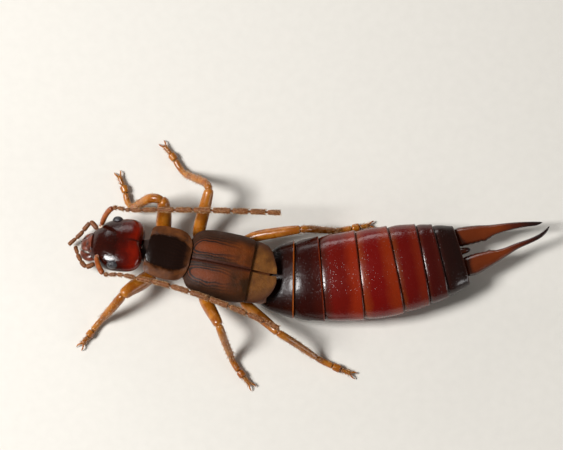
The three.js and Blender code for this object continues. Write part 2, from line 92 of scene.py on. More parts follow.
def back_at(x):
    """The middle line of the back at x, and the level direction across the body there."""
    reach = 0.05
    ahead = Vector((2 * reach, back_line(x + reach) - back_line(x - reach), 0)).normalized()
    return Vector((x, back_line(x), 0)), Vector((-ahead.y, ahead.x, 0))


def build(name, points, faces, corners, layer_name="Along"):
    """A smooth mesh piece, with a UV place for every corner of its faces in turn."""
    mesh = bpy.data.meshes.new(name)
    mesh.from_pydata([to_frame(p) for p in points], [], faces)
    layer = mesh.uv_layers.new(name=layer_name)
    for loop, corner in zip(layer.data, corners):
        loop.uv = corner
    mesh.shade_smooth()
    piece = bpy.data.objects.new(name, mesh)
    bpy.context.collection.objects.link(piece)
    return piece


def skin(name, *tubes, places=None):
    """Closed tubes in one piece, each over rings of equal count, with the way round in U and along in V."""
    points, faces, corners = [], [], []
    for rings in tubes:
        sides, base = len(rings[0]), len(points)
        along = places or [r / (len(rings) - 1) for r in range(len(rings))]
        points += [p for ring in rings for p in ring]
        for r in range(len(rings) - 1):
            low, high = base + r * sides, base + (r + 1) * sides
            for k in range(sides):
                n = (k + 1) % sides
                faces.append((low + k, low + n, high + n, high + k))
                left, right = k / sides, (k + 1) / sides
                corners += [(left, along[r]), (right, along[r]), (right, along[r + 1]), (left, along[r + 1])]
        final = base + (len(rings) - 1) * sides
        faces.append(tuple(range(base + sides - 1, base - 1, -1)))
        corners += [(k / sides, along[0]) for k in range(sides - 1, -1, -1)]
        faces.append(tuple(range(final, final + sides)))
        corners += [(k / sides, along[-1]) for k in range(sides)]
    return build(name, points, faces, corners)


def hex_colour(text):
    """sRGB hex to the linear colour that the renderer works in."""
    channels = [int(text[i:i + 2], 16) / 255 for i in (1, 3, 5)]
    linear = [c / 12.92 if c <= 0.04045 else ((c + 0.055) / 1.055) ** 2.4 for c in channels]
    return (*linear, 1.0)


def add_node(tree, kind, inputs):
    """One shader node, with its operation after a space in kind. A node or socket among the inputs is linked,
    a node by its first output, and any other value is set."""
    kind, _, operation = kind.partition(" ")
    node = tree.nodes.new("ShaderNode" + kind)
    if operation:
        node.operation = operation
    for key, value in inputs.items():
        if key == "stops":
            ramp = node.color_ramp.elements
            for place, _ in value[1:-1]:
                ramp.new(place)
            for element, (place, colour) in zip(ramp, value):
                element.position = place
                element.color = hex_colour(colour)
        elif isinstance(value, (bpy.types.Node, bpy.types.NodeSocket)):
            socket = value.outputs[0] if isinstance(value, bpy.types.Node) else value
            tree.links.new(socket, node.inputs[key])
        else:
            node.inputs[key].default_value = hex_colour(value) if isinstance(value, str) else value
    return node


def make_finish(name, gloss, settings, cloud, colour, relief):
    """A material whose tone, polish and relief drift over it. gloss is the roughness of its most and least
    polished patches, and cloud the size in millimetres and the detail of the drift."""
    finish = bpy.data.materials.new(name)
    finish.use_nodes = True
    tree = finish.node_tree
    tree.nodes.clear()
    add = functools.partial(add_node, tree)
    place = add("TexCoord", {})
    size, detail = cloud
    drift = add("TexNoise", {"Vector": place.outputs["Object"], "Scale": 1 / (size * mm), "Detail": detail})
    paint, wear = colour(add, place, drift)
    height, deep = relief(add, place)
    bump = add("Bump", {"Height": height, "Strength": 1.0, "Distance": deep * mm})
    polish = add("MapRange", {
        "Value": wear, "From Min": 0.3, "From Max": 0.7, "To Min": gloss[0], "To Max": gloss[1],
    })
    shader = add("BsdfPrincipled", {"Base Color": paint, "Roughness": polish, "Normal": bump, **settings})
    add("OutputMaterial", {"Surface": shader})
    return finish


def glow(share, spread, depth):
    """Settings of clear shell: the share of light that scatters inside it, how far in red, green and blue,
    and the depth in millimetres."""
    return {"Subsurface Weight": share, "Subsurface Radius": spread, "Subsurface Scale": depth * mm}


def mottled(dark, light, spread=0.15):
    """Pigment that drifts between two tones."""
    def colour(add, place, drift):
        stops = [(0.5 - spread, dark), (0.5 + spread, light)]
        return add("ValToRGB", {"Fac": drift, "stops": stops}), drift
    return colour


def grain(size, deep, detail=3.0, roughness=0.6):
    """Relief of fine grain, with its real size and height in millimetres."""
    def relief(add, place):
        height = add("TexNoise", {
            "Vector": place.outputs["Object"], "Scale": 1 / (size * mm),
            "Detail": detail, "Roughness": roughness,
        })
        return height, deep
    return relief


def dress(piece, finish, slot, *nodes):
    """Gives a piece its finish and body, and hides the solids that it stands in for. Its slot is not used."""
    piece.data.materials.append(finish)
    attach(piece, "root")
    if nodes:
        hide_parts(*nodes)
    return piece


def around(sides):
    """Cosine and sine of equal steps round a ring."""
    turns = [2 * math.pi * k / sides for k in range(sides)]
    return [(math.cos(turn), math.sin(turn)) for turn in turns]


def oval_ring(x, half_width, top, bottom, sides, square, crease):
    """A cross ring of the trunk, with a crease low on each flank where back and belly plates meet."""
    point, across = back_at(x)
    middle, half_height = (top + bottom) / 2, (top - bottom) / 2
    crease_place, crease_width = 0.88, 0.05
    ring = []
    for c, s in around(sides):
        flank = math.exp(-((abs(c) - crease_place) / crease_width) ** 2) if s < 0 else 0.0
        reach = 1 - crease * flank
        side = math.copysign(abs(c) ** (2 / square), c) * half_width * reach
        rise = math.copysign(abs(s) ** (2 / square), s) * half_height * reach
        ring.append(Vector((point.x + across.x * side, point.y + across.y * side, max(0.0, middle + rise))))
    return ring


# Brown shell with a satin sheen and a little warm light in it
belly_shell = make_finish(
    "Brown cuticle of the underside", (0.32, 0.5), {"IOR": 1.55, **glow(0.15, (0.9, 0.3, 0.1), 0.3)},
    (0.5, 2.0), mottled("#5a2c12", "#8a4c20"), grain(0.06, 0.01),
)
# Dull and softly wrinkled, painted nearly black as the shade that falls between head and shield
neck_in_painted_shade = make_finish(
    "Dark folded membrane of the neck", (0.5, 0.7), {"IOR": 1.45},
    (0.2, 2.0), mottled("#1e0e08", "#3a1e10"), grain(0.12, 0.03),
)
# Each row: place along the back, half width, top and bottom
thorax_rows = {
    "neck_skin": ("neck", neck_in_painted_shade, [
        (-7.2, 0.4, 1.64, 1.12), (-7.05, 0.46, 1.66, 1.06), (-6.9, 0.5, 1.66, 0.98), (-6.6, 0.5, 1.6, 0.95),
    ]),
    "prothorax_skin": ("prothorax", belly_shell, [
        (-6.84, 0.5, 1.66, 1.0), (-6.74, 0.58, 1.72, 0.88), (-6.45, 0.7, 1.8, 0.72), (-5.9, 0.8, 1.86, 0.64),
        (-5.5, 0.78, 1.84, 0.66), (-5.3, 0.7, 1.8, 0.74),
    ]),
    "hind_thorax_skin": ("hind_thorax", belly_shell, [
        (-5.45, 0.6, 1.7, 0.82), (-5.3, 0.8, 1.8, 0.7), (-4.9, 0.95, 1.9, 0.58), (-4.2, 1.05, 1.95, 0.5),
        (-4.05, 1.03, 1.95, 0.54), (-3.9, 1.06, 1.95, 0.48), (-3.0, 1.12, 1.9, 0.44), (-2.4, 1.14, 1.8, 0.42),
        (-1.9, 1.1, 1.7, 0.46),
    ]),
}
trunk_steps = 24
for name, (node, finish, rows) in thorax_rows.items():
    width, top, bottom = shapes(rows)
    first, last = rows[0][0], rows[-1][0]
    rings = []
    for i in range(trunk_steps + 1):
        x = first + (last - first) * i / trunk_steps
        rings.append(oval_ring(x, width(x), top(x), bottom(x), sides=48, square=2.3, crease=0.06))
    dress(skin(name, rings), finish, "under_body", node)

# Abdomen, seven showing rings of hard shell, each a back plate and a belly plate, slid a little into
# the rim of the ring before it. The back plates are polished dark red, orange towards their edges. The
# first two, next to the wing tips, are nearly black, partly their own dark shell and partly painted
# shade of the wing tips, and the sixth is darkened in part by painted shade as well.
abdomen_width = smooth([
    (-2.05, 1.2), (-1.2, 1.52), (-0.4, 1.68), (1.0, 1.82), (2.6, 1.88), (3.6, 1.82), (4.6, 1.68),
    (5.4, 1.5), (6.08, 1.26), (6.4, 1.1),
])
abdomen_top = smooth([
    (-2.05, 1.52), (-1.55, 1.62), (-0.9, 1.9), (0.4, 2.04), (2.6, 2.12), (4.0, 2.04), (5.2, 1.86),
    (6.08, 1.54), (6.4, 1.4),
])
abdomen_bottom = smooth([
    (-2.05, 0.42), (-0.6, 0.08), (0.6, -0.04), (3.8, -0.04), (5.0, 0.1), (6.08, 0.42), (6.4, 0.5),
])
abdomen_rear = 6.08
ring_ends = [-2.05, -0.89, 0.25, 1.83, 3.33, 4.46, 5.2, abdomen_rear]
# Each ring's tones: front band, middle, rear band and the thin rim
ring_tones = [
    # The first two rows: nearly black, partly the shell's own tone and partly painted shade under the wing
    # tips
    ("#160502", "#1c0502", "#240702", "#9a4a12"),
    ("#1c0502", "#280502", "#340802", "#6e2408"),
    ("#420f04", "#600801", "#7e1e02", "#5c1c0a"),
    ("#782a06", "#680400", "#7c2202", "#521606"),
    ("#662606", "#5c0400", "#681803", "#421105"),
    # Ring 6: its own dark red, made darker in part as painted shade
    ("#461405", "#3e0501", "#400b03", "#330e05"),
    ("#2a0b05", "#200804", "#1c0804", "#341006"),
]
# The first rings, in the wing tips' shade: their near-black tones are partly painted shade, and their shell
# is duller
rings_in_wing_shade = 2


def wandering(add, way, drift, reach):
    """A way over the piece that wanders with the drift, by half the reach to each side."""
    offset = add("Math MULTIPLY_ADD", {0: drift, 1: reach, 2: -reach / 2})
    return add("Math ADD", {0: way, 1: offset})


def ring_paint(tones):
    """Soft bands from the front edge to the rear one, then the rim."""
    front, middle, rear, rim = tones

    def colour(add, place, drift):
        way = add("SeparateXYZ", {"Vector": place.outputs["UV"]})
        along = wandering(add, way.outputs["Y"], drift, 0.22)
        stops = [(0.08, front), (0.27, middle), (0.6, middle), (0.82, rear)]
        bands = add("ValToRGB", {"Fac": along, "stops": stops})
        edge = add("MapRange", {"Value": way.outputs["Y"], "From Min": 0.945, "From Max": 0.975})
        return add("MixRGB", {"Fac": edge, "Color1": bands, "Color2": rim}), drift
    return colour


def pitted(add, place):
    """Fine pricked pits over the soft unevenness of the plate."""
    pit_spacing, wave_size, wave_share, relief_height = 0.1, 0.35, 2.0, 0.008
    body = place.outputs["Object"]
    pits = add("TexVoronoi", {"Vector": body, "Scale": 1 / (pit_spacing * mm), "Randomness": 0.9})
    dent = add("MapRange", {"Value": pits, "From Max": 0.28})
    wave = add("TexNoise", {"Vector": body, "Scale": 1 / (wave_size * mm), "Detail": 2.0})
    return add("Math MULTIPLY_ADD", {0: wave, 1: wave_share, 2: dent}), relief_height


for i, tones in enumerate(ring_tones):
    dark = i < rings_in_wing_shade
    start, end = ring_ends[i], ring_ends[i + 1]
    run = end - start
    # Each step: way from the ring's front edge, swell over the body's outline, and V
    profile = [
        (-0.28, -0.2, 0.0), (-0.12, -0.13, 0.0), (0.0, -0.075, 0.02), (0.06, -0.045, 0.06),
        (0.12 * run, -0.02, 0.12), (0.3 * run, 0.01, 0.3), (0.5 * run, 0.02, 0.5), (0.7 * run, 0.02, 0.7),
        (0.85 * run, 0.022, 0.85), (run - 0.09, 0.028, 0.92), (run - 0.04, 0.034, 0.955),
        (run + 0.005, 0.032, 0.985), (run + 0.02, 0.008, 1.0), (run + 0.01, -0.04, 1.0),
        (run - 0.12, -0.09, 1.0),
    ]
    belly_share = 0.6  # the belly plates swell less than the back plates
    rings = []
    for shift, swell, _ in profile:
        x = start + shift
        top, bottom = abdomen_top(x) + swell, abdomen_bottom(x) - swell * belly_share
        rings.append(oval_ring(x, abdomen_width(x) + swell, top, bottom, sides=96, square=2.15, crease=0.035))
    # Deep red shell that throws sharp glints from its pits and front slopes
    shell = make_finish(
        "Polished red-brown cuticle of abdomen ring %d" % (i + 1),
        (0.22, 0.32) if dark else (0.18, 0.28),
        {"IOR": 1.5, "Specular IOR Level": 0.2 if dark else 0.4, "Coat Weight": 0.08, "Coat Roughness": 0.12},
        (0.6, 3.0), ring_paint(tones), pitted,
    )
    piece = skin("abdomen_ring_%d" % (i + 1), rings, places=[v for _, _, v in profile])
    dress(piece, shell, "abdomen_ring", "abdomen_%d" % (i + 1))

# Forceps, two horny arms jointed to the last ring with the small pygidium plate between them. Their
# roots are broad, flat and orange with a toothed inner edge, and the slender tips are nearly black.
# Each row: place along the body, middle across it, height, half width and half height
forceps_rows = {
    "forceps_right": [
        (5.9, 1.06, 0.95, 0.36, 0.28), (6.02, 1.09, 0.95, 0.4, 0.3), (6.3, 1.15, 0.95, 0.39, 0.3),
        (6.8, 1.24, 0.96, 0.35, 0.26), (7.2, 1.32, 0.98, 0.28, 0.22), (7.5, 1.4, 1.0, 0.22, 0.19),
        (8.1, 1.52, 1.03, 0.16, 0.15), (8.7, 1.6, 1.06, 0.115, 0.115), (9.15, 1.63, 1.09, 0.09, 0.09),
        (9.38, 1.66, 1.11, 0.05, 0.055), (9.47, 1.68, 1.12, 0.015, 0.02),
    ],
    "forceps_left": [
        (6.24, -0.2, 0.95, 0.38, 0.28), (6.36, -0.16, 0.95, 0.41, 0.3), (6.6, -0.08, 0.95, 0.43, 0.3),
        (7.1, 0.12, 0.96, 0.36, 0.27), (7.5, 0.26, 0.98, 0.27, 0.23), (7.95, 0.46, 1.0, 0.18, 0.18),
        (8.4, 0.69, 1.03, 0.13, 0.14), (8.96, 0.91, 1.06, 0.1, 0.11), (9.35, 1.1, 1.09, 0.09, 0.095),
        (9.62, 1.32, 1.12, 0.065, 0.065), (9.76, 1.5, 1.16, 0.02, 0.025),
    ],
    "pygidium": [
        (6.02, 0.45, 0.95, 0.14, 0.2), (6.15, 0.49, 0.95, 0.14, 0.2), (6.3, 0.53, 0.96, 0.12, 0.17),
        (6.42, 0.56, 0.96, 0.08, 0.1), (6.47, 0.575, 0.96, 0.03, 0.04),
    ],
}


def horn_paint(add, place, drift):
    """Orange at the broad root, red-brown along the arm and nearly black at the tip, with painted shade
    darkening both flanks.
    """
    way = add("SeparateXYZ", {"Vector": place.outputs["UV"]})
    along = wandering(add, way.outputs["Y"], drift, 0.2)
    stops = [(0.0, "#5c2204"), (0.28, "#6e2c07"), (0.42, "#4a1605"), (0.62, "#240904"), (0.95, "#140604")]
    tones = add("ValToRGB", {"Fac": along, "stops": stops})
    # Painted shade: both flanks of each arm darken towards a near-black tone
    turn = add("Math MULTIPLY", {0: way.outputs["X"], 1: 2 * math.pi})
    sideways = add("Math COSINE", {0: turn})
    flank = add("Math ABSOLUTE", {0: sideways})
    edge = add("MapRange", {"Value": flank, "From Min": 0.72, "From Max": 0.97, "To Max": 0.85})
    return add("MixRGB", {"Fac": edge, "Color1": tones, "Color2": "#230904"}), drift


# Smooth dark horn with a long glint down each arm
horn = make_finish(
    "Polished horny cuticle of the forceps", (0.16, 0.28),
    {"IOR": 1.52, "Coat Weight": 0.2, "Coat Roughness": 0.1}, (0.4, 3.0), horn_paint, grain(0.08, 0.006),
)
horn_sides = 24
toothed_length, tooth_depth, tooth_pitch = 1.35, 0.022, math.pi / 13
knob_place, knob_depth, knob_width = 1.15, 0.05, 0.1
turning_rings = 12  # over these the arm turns from the last ring's rear edge to its own line
tip_crowding = 0.9
for name, rows in forceps_rows.items():
    middle, height, half_wide, half_high = shapes(rows)
    first, last = rows[0][0], rows[-1][0]
    count = 16 if name == "pygidium" else 60
    inward = -1 if name == "forceps_right" else 1
    rings = []
    for i in range(count + 1):
        x = first + (last - first) * math.sin(math.pi / 2 * i / count) ** tip_crowding
        reach = 0.02
        ahead = Vector((2 * reach, middle(x + reach) - middle(x - reach), 0)).normalized()
        square_on = max(0.0, 1 - i / turning_rings)
        across = Vector((-ahead.y, ahead.x, 0)).lerp(back_at(abdomen_rear)[1], square_on).normalized()
        tooth = 0.0
        if name != "pygidium" and x < first + toothed_length:
            knob = math.exp(-((x - first - knob_place) / knob_width) ** 2)
            tooth = tooth_depth * abs(math.sin((x - first) * math.pi / tooth_pitch)) + knob_depth * knob
        ring = []
        for c, s in around(horn_sides):
            out = half_wide(x) * c + tooth * max(0.0, c * inward) ** 2 * inward
            ring.append(Vector((x, middle(x), height(x) + half_high(x) * s)) + across * out)
        rings.append(ring)
    dress(skin(name + "_horn", rings), horn, "forceps", name)

# Pronotum, the shield over the front of the thorax: one domed plate of nearly black shell with thin,
# flat margins of pale, see-through tan at the sides and rear.
def spaced(start, end, count):
    """Places from start to end that stand closer towards both."""
    return [start + (end - start) * (0.5 - 0.5 * math.cos(math.pi * i / count)) for i in range(count + 1)]


rim_radius = 0.03


def plate(name, xs, outline, crown, thickness, columns):
    """A thin closed plate over the back: outline gives its two edges as offsets from the middle line."""
    upper, ways = [], []
    for r, x in enumerate(xs):
        inner, outer = outline(x)
        point, across = back_at(x)
        for k in range(columns + 1):
            share = k / columns
            offset = inner + (outer - inner) * share
            upper.append(point + across * offset + up * crown(x, offset))
            ways.append((share, r / (len(xs) - 1)))
    lower = [p - up * thickness for p in upper]
    width, rows, base = columns + 1, len(xs), len(upper)
    faces = []
    for r in range(rows - 1):
        for k in range(columns):
            a, b = r * width + k, r * width + k + 1
            faces.append((a, a + width, b + width, b))
            faces.append((base + a, base + b, base + b + width, base + a + width))
    rim = list(range(width))
    rim += [r * width + columns for r in range(1, rows)]
    rim += [(rows - 1) * width + k for k in range(columns - 1, -1, -1)]
    rim += [r * width for r in range(rows - 2, 0, -1)]
    for a, b in zip(rim, rim[1:] + rim[:1]):
        faces.append((a, b, base + b, base + a))
    piece = build(name, upper + lower, faces, [ways[v % base] for face in faces for v in face])
    soft_edge = piece.modifiers.new("Rounded rim", "BEVEL")
    soft_edge.width = rim_radius * mm
    soft_edge.segments = 3
    soft_edge.limit_method = "ANGLE"
    soft_edge.angle_limit = math.radians(50)
    return piece


shield_front, shield_rear, shield_half = -6.95, -5.17, 1.1
shield_side = smooth([
    (-6.95, 0.74), (-6.93, 0.8), (-6.86, 0.87), (-6.7, 0.935), (-6.4, 0.985), (-6.0, 1.0), (-5.7, 0.97),
    (-5.5, 0.9), (-5.33, 0.76), (-5.22, 0.55), (-5.17, 0.3),
])


# Millimetres, and for places and slopes shares of the half width or of the length
shield_height, side_fall, front_fall, front_place = 2.2, 0.14, 0.35, 0.16
disc_rise, disc_side, disc_slope, disc_fall = 0.1, 0.62, 0.045, 0.4
border_drop, border_place, border_slope = 0.07, 0.76, 0.035
furrow_depth, furrow_width, furrow_place, furrow_reach = 0.012, 0.03, 0.45, 0.35


def shield_crown(x, offset):
    """Height of the dome, with the disc raised on it, the rear border stepped down and a middle furrow."""
    side = abs(offset) / shield_half
    along = (x - shield_front) / (shield_rear - shield_front)
    dome = shield_height - side_fall * side ** 2 - front_fall * max(0.0, front_place - along) ** 1.2
    disc = disc_rise / (1 + math.exp((side - disc_side) / disc_slope)) * (1 - side ** 2 * disc_fall)
    rear_step = border_drop / (1 + math.exp(-(along - border_place) / border_slope))
    furrow = furrow_depth * math.exp(-(offset / furrow_width) ** 2)
    return dome + disc - rear_step - furrow * math.exp(-((along - furrow_place) / furrow_reach) ** 4)


def shield_paint(add, place, drift):
    """Black-brown disc that clears to tan at the sides and half clears at the rear, where thin dark lines
    follow the rim."""
    way = add("SeparateXYZ", {"Vector": place.outputs["UV"]})
    off_centre = add("Math SUBTRACT", {0: way.outputs["X"], 1: 0.5})
    side = add("Math ABSOLUTE", {0: off_centre})
    edge = wandering(add, side, drift, 0.08)
    from_middle = add("Math SUBTRACT", {0: way.outputs["Y"], 1: 0.42})
    squared = add("Math POWER", {0: from_middle, 1: 2.0})
    edge = add("Math MULTIPLY_ADD", {0: squared, 1: 0.4, 2: edge})
    margin = add("MapRange", {"Value": edge, "From Min": 0.3, "From Max": 0.37})
    late = wandering(add, way.outputs["Y"], drift, 0.08)
    rear = add("MapRange", {"Value": late, "From Min": 0.74, "From Max": 0.9, "To Max": 0.55})
    pale = add("Math MAXIMUM", {0: margin, 1: rear})
    tan = add("ValToRGB", {"Fac": drift, "stops": [(0.3, "#46240c"), (0.7, "#683a18")]})
    shades = add("MixRGB", {"Fac": pale, "Color1": "#150703", "Color2": tan})
    line_spacing = 0.06
    turns = add("Math MULTIPLY", {0: edge, 1: 2 * math.pi / line_spacing})
    wave = add("Math SINE", {0: turns})
    line = add("MapRange", {"Value": wave, "From Min": 0.3, "From Max": 0.9, "To Max": 0.45})
    rearward = add("MapRange", {"Value": way.outputs["Y"], "From Min": 0.4, "From Max": 0.8})
    drawn = add("Math MULTIPLY", {0: line, 1: rearward})
    return add("MixRGB", {"Fac": drawn, "Color1": shades, "Color2": "#2a140a"}), pale


# Wet-looking black disc against duller tan margins
shield_shell = make_finish(
    "Glossy black-brown cuticle with tan margins", (0.17, 0.4), {"IOR": 1.48, "Specular IOR Level": 0.36},
    (0.25, 3.0), shield_paint, grain(0.12, 0.012),
)
shield = plate(
    "pronotum_shield", spaced(shield_front, shield_rear, 40),
    lambda x: (-shield_side(x) * shield_half, shield_side(x) * shield_half), shield_crown,
    thickness=0.16, columns=48,
)
dress(shield, shield_shell, "neck_shield", "pronotum")

# Wing cases, two short leathery plates that meet down the back and are cut square behind. They are
# thin enough for the folded wings beneath to show through as ochre fields ringed with dark lines.
case_front, case_rear, case_half = -5.3, -2.68, 1.42
case_side = smooth([
    (-5.3, 0.55), (-5.22, 0.7), (-5.05, 0.84), (-4.7, 0.95), (-4.2, 1.0), (-3.4, 1.0), (-2.9, 0.96),
    (-2.74, 0.92), (-2.68, 0.86),
])
case_height = smooth([
    (-5.3, 2.02), (-5.12, 2.16), (-4.9, 2.28), (-4.5, 2.36), (-3.8, 2.4), (-3.0, 2.36), (-2.68, 2.3),
])


seam_depth, seam_width = 0.025, 0.05


def case_crown(x, offset):
    """Height of the case, which dips at the seam and folds down at its outer side."""
    side = abs(offset) / case_half
    seam_dip = seam_depth * math.exp(-(offset / seam_width) ** 2)
    return case_height(x) - 0.1 * side ** 2 - 0.36 * side ** 5 - seam_dip


def case_paint(add, place, drift):
    """Ochre heart at the shoulder inside nested dark contour lines, cloudy behind, darker at the side."""
    way = add("SeparateXYZ", {"Vector": place.outputs["UV"]})
    # Distance from the heart, in shares of the width. It counts half to the rear, so the loops are drops
    across = add("Math SUBTRACT", {0: way.outputs["X"], 1: 0.42})
    behind = add("Math SUBTRACT", {0: way.outputs["Y"], 1: 0.34})
    rearward = add("Math MAXIMUM", {0: behind, 1: 0.0})
    forward = add("Math MINIMUM", {0: behind, 1: 0.0})
    slow = add("Math MULTIPLY", {0: rearward, 1: 0.5})
    run = add("Math MULTIPLY_ADD", {0: forward, 1: 1.15, 2: slow})
    flat = add("CombineXYZ", {"X": across, "Y": run})
    reach = add("VectorMath LENGTH", {0: flat})
    loop = add("Math MULTIPLY_ADD", {0: drift, 1: 0.15, 2: reach.outputs["Value"]})
    stops = [(0.14, "#682c05"), (0.26, "#582505"), (0.38, "#3e1e06"), (0.54, "#281606")]
    field = add("ValToRGB", {"Fac": loop, "stops": stops})
    patch_size = 0.8
    patch = add("TexNoise", {
        "Vector": place.outputs["Object"], "Scale": 1 / (patch_size * mm), "Detail": 2.0, "Distortion": 0.5,
    })
    stops = [(0.35, "#2e1906"), (0.5, "#4e2406"), (0.65, "#642e06")]
    rear_tones = add("ValToRGB", {"Fac": patch, "stops": stops})
    late = add("MapRange", {"Value": way.outputs["Y"], "From Min": 0.42, "From Max": 0.7})
    ground = add("MixRGB", {"Fac": late, "Color1": field, "Color2": rear_tones})
    line_spacing = 0.082
    turns = add("Math MULTIPLY", {0: loop, 1: 2 * math.pi / line_spacing})
    wave = add("Math SINE", {0: turns})
    drawn = add("MapRange", {"Value": wave, "From Min": -0.25, "From Max": 0.25})
    # The lines fade out at the outer loops, inside the heart and towards the rear
    for source, nothing, full in ((loop, 0.53, 0.46), (loop, 0.19, 0.24), (way.outputs["Y"], 0.72, 0.42)):
        limit = add("MapRange", {"Value": source, "From Min": nothing, "From Max": full})
        drawn = add("Math MULTIPLY", {0: drawn, 1: limit})
    lined = add("MixRGB", {"Fac": drawn, "Color1": ground, "Color2": "#180a04"})
    side = add("MapRange", {"Value": way.outputs["X"], "From Min": 0.66, "From Max": 0.84})
    dark_side = add("MixRGB", {"Fac": side, "Color1": lined, "Color2": "#331907"})
    seam = add("MapRange", {"Value": way.outputs["X"], "From Min": 0.1, "From Max": 0.04})
    return add("MixRGB", {"Fac": seam, "Color1": dark_side, "Color2": "#3a1606"}), patch


def mirrored_plates(names, xs, side_line, crown, finish, slot, seam, thickness, columns):
    """A left and a right plate, each off the middle line by the seam's half width."""
    for name, side in zip(names, (-1, 1)):
        piece = plate(
            "%s_%s" % name, xs, lambda x, side=side: (side * seam, side * side_line(x) * case_half),
            crown, thickness, columns,
        )
        if side < 0:
            piece.data.flip_normals()
        dress(piece, finish, slot, name[0])


leathery = grain(0.09, 0.02, 4.0, 0.65)
# Dull brown leather with hardly a sheen, so that the drawn lines stay clear
case_leather = make_finish(
    "Leathery ochre cuticle of the wing cases", (0.4, 0.58),
    {"IOR": 1.48, "Specular IOR Level": 0.2, **glow(0.1, (0.8, 0.35, 0.1), 0.2)},
    (0.55, 3.0), case_paint, leathery,
)
mirrored_plates(
    (("elytron_left", "case"), ("elytron_right", "case")), spaced(case_front, case_rear, 60),
    case_side, case_crown, case_leather, "wing_case", seam=0.012, thickness=0.12, columns=36,
)

# Wing tips, the leathery ends of the folded hind wings, which stick out behind the wing cases. They
# are paler, straight along the middle and rounded at the outer rear corner.
tip_front, tip_length, tip_rows = -2.9, 1.3, 40
tip_height, rear_fall = 2.2, 0.13
tip_side = smooth([
    (-2.9, 0.9), (-2.6, 0.92), (-2.3, 0.88), (-2.0, 0.76), (-1.8, 0.58), (-1.68, 0.4), (-1.6, 0.24),
])


def tip_crown(x, offset):
    """Height of the tip, which sinks to the rear and folds down at its outer side."""
    side = abs(offset) / case_half
    return tip_height - rear_fall * (x - tip_front) - 0.1 * side ** 2 - 0.34 * side ** 5


def tip_paint(add, place, drift):
    """Clouded ochre, browner towards the outer edge."""
    way = add("SeparateXYZ", {"Vector": place.outputs["UV"]})
    stops = [(0.3, "#54300f"), (0.6, "#744616"), (0.8, "#865820")]
    tones = add("ValToRGB", {"Fac": drift, "stops": stops})
    side = add("MapRange", {"Value": way.outputs["X"], "From Min": 0.55, "From Max": 0.95})
    return add("MixRGB", {"Fac": side, "Color1": tones, "Color2": "#452410"}), drift


# Pale ochre leather, matt, the lightest part of the back
tip_leather = make_finish(
    "Pale leathery cuticle of the wing tips", (0.42, 0.6),
    {"IOR": 1.48, "Specular IOR Level": 0.3, **glow(0.15, (0.8, 0.4, 0.15), 0.2)},
    (0.35, 4.0), tip_paint, leathery,
)
mirrored_plates(
    (("wing_tip_left", "leather"), ("wing_tip_right", "leather")),
    [tip_front + tip_length * math.sin(math.pi / 2 * i / tip_rows) for i in range(tip_rows + 1)],
    tip_side, tip_crown, tip_leather, "wing_tip", seam=0.05, thickness=0.1, columns=30,
)

# Head, one hard capsule, broad at the cheeks and notched at the nape, with a fine seam over the crown.
# Its polished shell is nearly black in front and glows red-orange behind.
head_middle = Vector((-8.26, 0.65, 1.5))
head_long, head_wide, head_high = 2.3, 2.44, 1.15
head_turn = (
    Matrix.Rotation(math.radians(-3), 4, "Z") @ Matrix.Rotation(math.radians(-9), 4, "Y")
    @ Matrix.Rotation(math.radians(-20), 4, "X")
)


def on_head(x, y, z):
    """A point given from the middle of the head, in the directions that the head is turned to."""
    return head_turn @ Vector((x, y, z)) + head_middle


# Width and height as shares of the greatest, over the way from the mouth at -0.5 to the nape at 0.5
head_width = smooth([
    (-0.5, 0.2), (-0.49, 0.3), (-0.46, 0.42), (-0.4, 0.54), (-0.3, 0.71), (-0.18, 0.88), (-0.05, 0.96),
    (0.08, 0.99), (0.2, 1.0), (0.3, 0.975), (0.38, 0.91), (0.44, 0.8), (0.475, 0.68), (0.495, 0.5),
    (0.5, 0.3),
])
head_height = smooth([
    (-0.5, 0.16), (-0.48, 0.34), (-0.42, 0.52), (-0.3, 0.78), (-0.12, 0.96), (0.08, 1.0), (0.28, 0.95),
    (0.4, 0.84), (0.47, 0.66), (0.495, 0.42), (0.5, 0.2),
])


def crown_dents(place, y):
    """Depth of the crown's furrow and seam behind, the forked seam in front and the dents at the antennae."""
    late = 1 / (1 + math.exp(-(place - 0.18) / 0.06))
    furrow = 0.024 * late * math.exp(-(y / 0.18) ** 2)
    seam = 0.012 * late * math.exp(-(y / 0.025) ** 2)
    fork_way = (0.16 - place) * 1.9
    fork = 0.008 * (1 - late) * math.exp(-((abs(y) - fork_way) / 0.05) ** 2) * (place > -0.22)
    dent = 0.012 * math.exp(-((place + 0.29) / 0.07) ** 2) * math.exp(-((abs(y) - 0.6) / 0.14) ** 2)
    return furrow + seam + fork + dent


head_sides = 96
nape_depth, nape_width, nape_place = 0.13, 0.32, 0.3
round_side, round_top = 0.92, 0.95  # below 1 the oval is a little fuller than an ellipse
rings = []
for place in spaced(-0.5, 0.5, 96):
    ring = []
    for c, s in around(head_sides):
        y = math.copysign(abs(c) ** round_side, c) * head_width(place) * head_wide / 2
        z = math.copysign(abs(s) ** round_top, s) * head_height(place) * head_high / 2
        if s > 0:
            z -= crown_dents(place, y)
        nape = max(0.0, (place - nape_place) / (0.5 - nape_place))
        x = place * head_long - nape_depth * nape * math.exp(-(y / nape_width) ** 2)
        ring.append(on_head(x, y, z))
    rings.append(ring)


